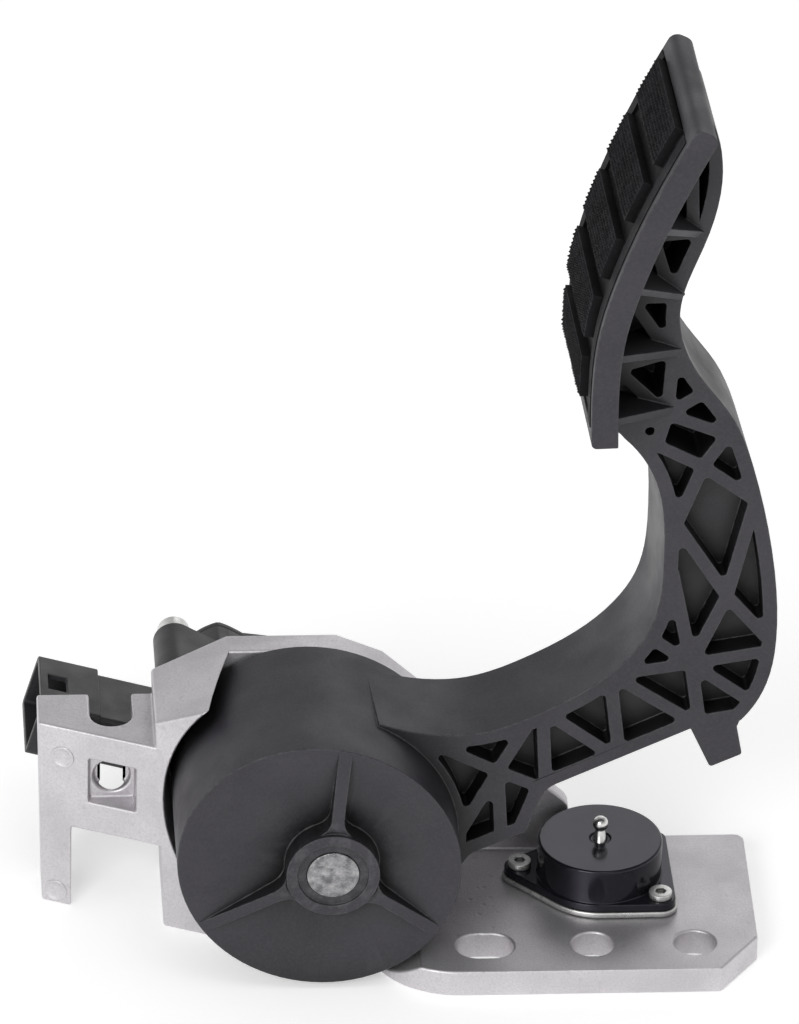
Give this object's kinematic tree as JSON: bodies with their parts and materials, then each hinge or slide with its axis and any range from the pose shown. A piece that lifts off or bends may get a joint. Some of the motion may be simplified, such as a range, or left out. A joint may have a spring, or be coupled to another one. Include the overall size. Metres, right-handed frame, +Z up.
{
  "type": "accelerator pedal",
  "caption": "Floor-mounted accelerator pedal: cast bracket, drum with latticed arm and curved pad with rubber tread, kickdown unit on the base, rotary sensor behind.",
  "frame": {"origin": "on the base underside, below the pedal's pivot, at the wall's front face", "axes": "+X towards the pedal pad's free side, to the right seen from the hub; +Y along the pivot from the hub to the sensor; +Z up"},
  "size_m": [0.2195, 0.104, 0.2926],
  "materials": {
    "bracket": "satin cast, sand-blasted",
    "pedal_arm": "moulded, scuffed",
    "rubber_tread": "fine cross-hatch",
    "pivot_shaft": "ground",
    "front_bush": "plain",
    "rear_bush": "plain",
    "thrust_washer": "plain",
    "shaft_circlip": "phosphated",
    "outer_return_spring": "drawn wire",
    "inner_return_spring": "drawn wire",
    "stop_pin": "ground",
    "stop_sleeve": "plain",
    "sensor_housing": "moulded",
    "sensor_cover": "moulded",
    "sensor_seal": "plain",
    "sensor_rotor": "moulded",
    "rotor_magnet": "nickel plated",
    "sensor_board": "solder resist",
    "connector_pins": "tin plated",
    "sensor_screws": "zinc plated",
    "kickdown_plate": "zinc plated",
    "kickdown_housing": "glossy",
    "kickdown_guide": "turned",
    "kickdown_plunger": "polished",
    "kickdown_spring": "drawn wire",
    "kickdown_screws": "zinc plated"
  },
  "bodies": {
    "mount": {"bracket": "bracket", "front_bush": "front_bush", "rear_bush": "rear_bush", "thrust_washer": "thrust_washer", "outer_return_spring": "outer_return_spring", "inner_return_spring": "inner_return_spring", "stop_pin": "stop_pin", "stop_sleeve": "stop_sleeve", "sensor_housing": "sensor_housing", "sensor_cover": "sensor_cover", "sensor_seal": "sensor_seal", "sensor_board": "sensor_board", "connector_pins": "connector_pins", "sensor_screws": "sensor_screws", "kickdown_plate": "kickdown_plate", "kickdown_housing": "kickdown_housing", "kickdown_guide": "kickdown_guide", "kickdown_spring": "kickdown_spring", "kickdown_screws": "kickdown_screws"},
    "pedal": {"pedal_arm": "pedal_arm", "rubber_tread": "rubber_tread", "pivot_shaft": "pivot_shaft", "shaft_circlip": "shaft_circlip", "sensor_rotor": "sensor_rotor", "rotor_magnet": "rotor_magnet"},
    "plunger": {"kickdown_plunger": "kickdown_plunger"}
  },
  "joints": [
    {"name": "pedal_hinge", "type": "hinge", "parent": "mount", "child": "pedal", "pos_m": [0, 0, 0.0412], "axis": [0, 1, 0], "range_deg": [0, 22], "stiffness_Nm_per_rad": 6, "springref_deg": -28.65},
    {"name": "kickdown_press", "type": "slide", "parent": "mount", "child": "plunger", "axis": [0, 0, -1], "range_m": [0, 0.0034], "stiffness_N_per_m": 800, "springref_m": -0.006, "deforming": ["kickdown_spring"]}
  ]
}
